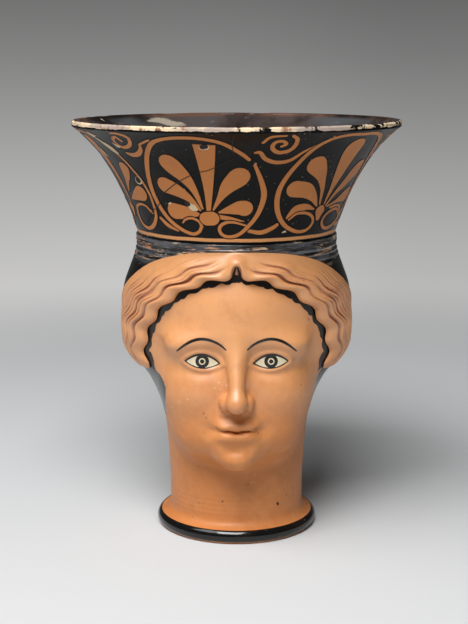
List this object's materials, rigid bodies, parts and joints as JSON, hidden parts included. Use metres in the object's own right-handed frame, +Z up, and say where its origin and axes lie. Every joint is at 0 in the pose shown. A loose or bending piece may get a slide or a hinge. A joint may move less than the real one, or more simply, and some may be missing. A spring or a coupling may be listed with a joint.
{
  "type": "head vase",
  "caption": "Fired clay vase: flaring painted mouth bowl on a mould-made head with wavy hair, standing on a short pedestal and a rounded foot, with a strap handle at the back.",
  "frame": {"origin": "middle of the foot's resting face", "axes": "+Z up along the vase's axis, -Y towards the viewer, out of the face, +X to the viewer's right"},
  "size_m": [0.154, 0.154, 0.196],
  "materials": {
    "clay": "satin",
    "black_gloss": "gloss",
    "raw_clay": "matte"
  },
  "bodies": {
    "root": {"mouth_bowl": "black_gloss", "collar_ring": "black_gloss", "head_front": "clay", "head_back": "black_gloss", "hair_left": "clay", "hair_right": "clay", "neck_pedestal": "clay", "foot_ring": "black_gloss", "floor_disc": "raw_clay", "seam_coil_left": "raw_clay", "seam_coil_right": "raw_clay", "handle": "black_gloss"}
  },
  "joints": []
}
